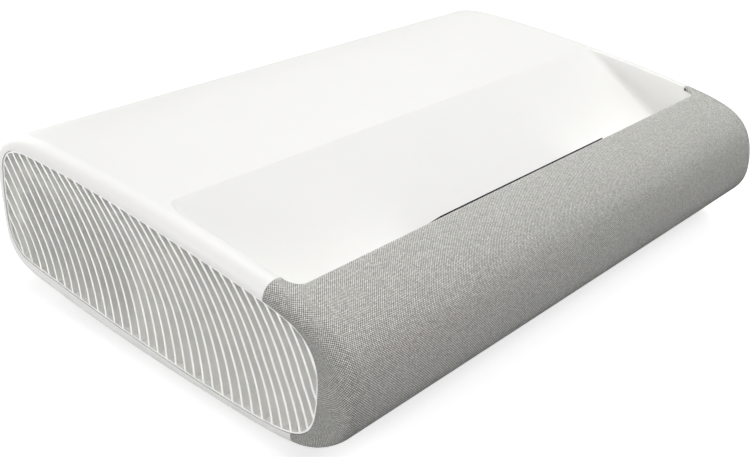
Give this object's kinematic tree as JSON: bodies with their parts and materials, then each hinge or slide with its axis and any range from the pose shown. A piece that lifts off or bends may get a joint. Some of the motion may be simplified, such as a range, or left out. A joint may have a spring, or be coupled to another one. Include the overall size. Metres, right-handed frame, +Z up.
{
  "type": "ultra-short-throw projector",
  "caption": "Low white ultra-short-throw home projector with a V-shaped trough and window in the top, a cloth-covered rounded nose, curved louvred sides and rear sockets.",
  "frame": {"origin": "middle of the footprint, at the level the foot pads rest on", "axes": "+X across the width, -Y toward the cloth nose, +Z up"},
  "size_m": [0.55, 0.3617, 0.1276],
  "materials": {
    "white_shell": "fine satin moulding",
    "grille_white": "fine satin moulding",
    "cloth": "fine plain weave of light and dark grey yarn",
    "dark_plastic": "fine texture",
    "rotor_plastic": "smooth",
    "gloss_black": "gloss",
    "window_glass": "coated",
    "lens_glass": "coated",
    "mirror_coat": "polished",
    "alloy": "die cast",
    "steel": "plated",
    "socket_metal": "plated",
    "brass": "machined",
    "gear_plastic": "acetal",
    "board": "solder mask",
    "cone_paper": "pressed pulp",
    "foot_rubber": "matte"
  },
  "bodies": {
    "chassis": {"base_pan": "white_shell", "case_screws": "steel", "chassis_plate": "steel", "concave_mirror": "mirror_coat", "diffuser_motor": "dark_plastic", "dmd_board": "board", "dmd_heatsink": "alloy", "dust_screen_left": "grille_white", "dust_screen_right": "grille_white", "engine_housing": "alloy", "exhaust_fan_front_frame": "dark_plastic", "exhaust_fan_rear_frame": "dark_plastic", "focus_motor": "steel", "front_fabric": "cloth", "front_frame": "dark_plastic", "front_lens": "lens_glass", "hdmi_sockets": "socket_metal", "intake_fan_frame": "dark_plastic", "ir_board": "board", "lan_socket": "socket_metal", "laser_bank_blue": "brass", "laser_bank_green": "brass", "laser_bank_red": "brass", "laser_driver_board": "board", "laser_heatsink": "alloy", "left_grille": "grille_white", "lens_barrel": "alloy", "main_board": "board", "mirror_bracket": "alloy", "optical_socket": "gloss_black", "power_board": "board", "power_inlet": "gloss_black", "processor_heatsink": "alloy", "rear_panel": "dark_plastic", "right_grille": "grille_white", "speaker_box_left": "dark_plastic", "speaker_box_right": "dark_plastic", "top_cover": "white_shell", "tweeter_left": "dark_plastic", "tweeter_right": "dark_plastic", "usb_socket": "socket_metal", "window_bezel": "gloss_black", "window_glass": "window_glass"},
    "intake_fan": {"intake_fan_rotor": "rotor_plastic"},
    "exhaust_fan_front": {"exhaust_fan_front_rotor": "rotor_plastic"},
    "exhaust_fan_rear": {"exhaust_fan_rear_rotor": "rotor_plastic"},
    "diffuser_wheel": {"diffuser_wheel": "lens_glass"},
    "focus_ring": {"focus_ring": "gear_plastic"},
    "focus_pinion": {"focus_pinion": "gear_plastic"},
    "power_button": {"power_button": "gloss_black"},
    "woofer_left": {"woofer_cone_left": "cone_paper"},
    "woofer_right": {"woofer_cone_right": "cone_paper"},
    "foot_front_left": {"foot_stud_front_left": "steel", "foot_pad_front_left": "foot_rubber"},
    "foot_front_right": {"foot_stud_front_right": "steel", "foot_pad_front_right": "foot_rubber"},
    "foot_rear_left": {"foot_stud_rear_left": "steel", "foot_pad_rear_left": "foot_rubber"},
    "foot_rear_right": {"foot_stud_rear_right": "steel", "foot_pad_rear_right": "foot_rubber"}
  },
  "joints": [
    {"name": "intake_fan_spin", "type": "hinge", "parent": "chassis", "child": "intake_fan", "pos_m": [-0.2448, 0.07, 0.062], "axis": [1, 0, 0], "continuous": true},
    {"name": "exhaust_fan_front_spin", "type": "hinge", "parent": "chassis", "child": "exhaust_fan_front", "pos_m": [0.2462, 0.032, 0.062], "axis": [1, 0, 0], "continuous": true},
    {"name": "exhaust_fan_rear_spin", "type": "hinge", "parent": "chassis", "child": "exhaust_fan_rear", "pos_m": [0.2462, 0.116, 0.062], "axis": [1, 0, 0], "continuous": true},
    {"name": "diffuser_wheel_spin", "type": "hinge", "parent": "chassis", "child": "diffuser_wheel", "pos_m": [-0.0914, 0.051, 0.054], "axis": [1, 0, 0], "continuous": true},
    {"name": "focus_ring_turn", "type": "hinge", "parent": "chassis", "child": "focus_ring", "pos_m": [0, -0.002, 0.058], "axis": [0, 1, 0], "range_deg": [-30, 30]},
    {"name": "focus_pinion_turn", "type": "hinge", "parent": "chassis", "child": "focus_pinion", "pos_m": [0.03902, -0.002, 0.04224], "axis": [0, 1, 0], "range_deg": [-182, 182]},
    {"name": "foot_front_left_screw", "type": "slide", "parent": "chassis", "child": "foot_front_left", "axis": [0, 0, -1], "range_m": [0, 0.008]},
    {"name": "foot_front_right_screw", "type": "slide", "parent": "chassis", "child": "foot_front_right", "axis": [0, 0, -1], "range_m": [0, 0.008]},
    {"name": "foot_rear_left_screw", "type": "slide", "parent": "chassis", "child": "foot_rear_left", "axis": [0, 0, -1], "range_m": [0, 0.008]},
    {"name": "foot_rear_right_screw", "type": "slide", "parent": "chassis", "child": "foot_rear_right", "axis": [0, 0, -1], "range_m": [0, 0.008]},
    {"name": "power_button_press", "type": "slide", "parent": "chassis", "child": "power_button", "axis": [0, -1, 0], "range_m": [0, 0.0015], "stiffness_N_per_m": 900, "springref_m": -0.0004},
    {"name": "woofer_left_travel", "type": "slide", "parent": "chassis", "child": "woofer_left", "axis": [0, 1, 0], "range_m": [-0.003, 0.003], "stiffness_N_per_m": 1800},
    {"name": "woofer_right_travel", "type": "slide", "parent": "chassis", "child": "woofer_right", "axis": [0, 1, 0], "range_m": [-0.003, 0.003], "stiffness_N_per_m": 1800}
  ],
  "couplings": [
    {"joint": "focus_pinion_turn", "follows": "focus_ring_turn", "ratio": -6}
  ]
}
